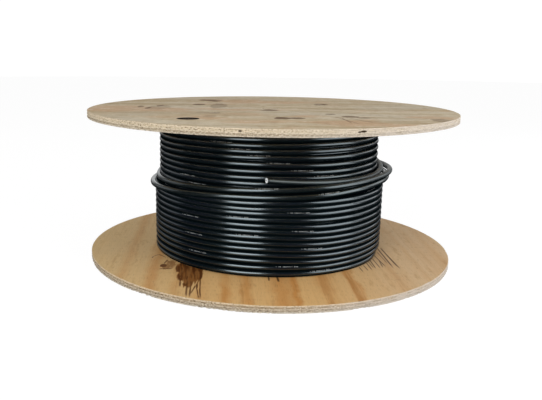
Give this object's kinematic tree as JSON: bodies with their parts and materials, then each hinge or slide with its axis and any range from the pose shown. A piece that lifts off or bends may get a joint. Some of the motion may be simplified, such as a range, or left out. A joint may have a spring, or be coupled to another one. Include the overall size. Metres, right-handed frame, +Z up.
{
  "type": "cable drum",
  "caption": "Plywood cable drum standing on its flange, wound with black cable whose last turns cross over each other and end in a tucked tail",
  "frame": {"origin": "centre of the lower flange's underside, on the floor", "axes": "+Z up along the drum's axis, -Y towards the side where the cable's cut end shows"},
  "size_m": [0.6999, 0.7, 0.282],
  "materials": {
    "plywood_warm": "matte",
    "plywood_grey": "matte",
    "board": "matte",
    "cable_jacket": "satin",
    "zinc": "satin"
  },
  "bodies": {
    "root": {"lower_flange": "plywood_warm", "upper_flange": "plywood_grey", "barrel": "board", "cable_winding": "cable_jacket", "cable_last_turns": "cable_jacket", "tie_bolt_1": "zinc", "bolt_nut_1": "zinc", "tie_bolt_2": "zinc", "bolt_nut_2": "zinc", "tie_bolt_3": "zinc", "bolt_nut_3": "zinc", "tie_bolt_4": "zinc", "bolt_nut_4": "zinc"}
  },
  "joints": []
}
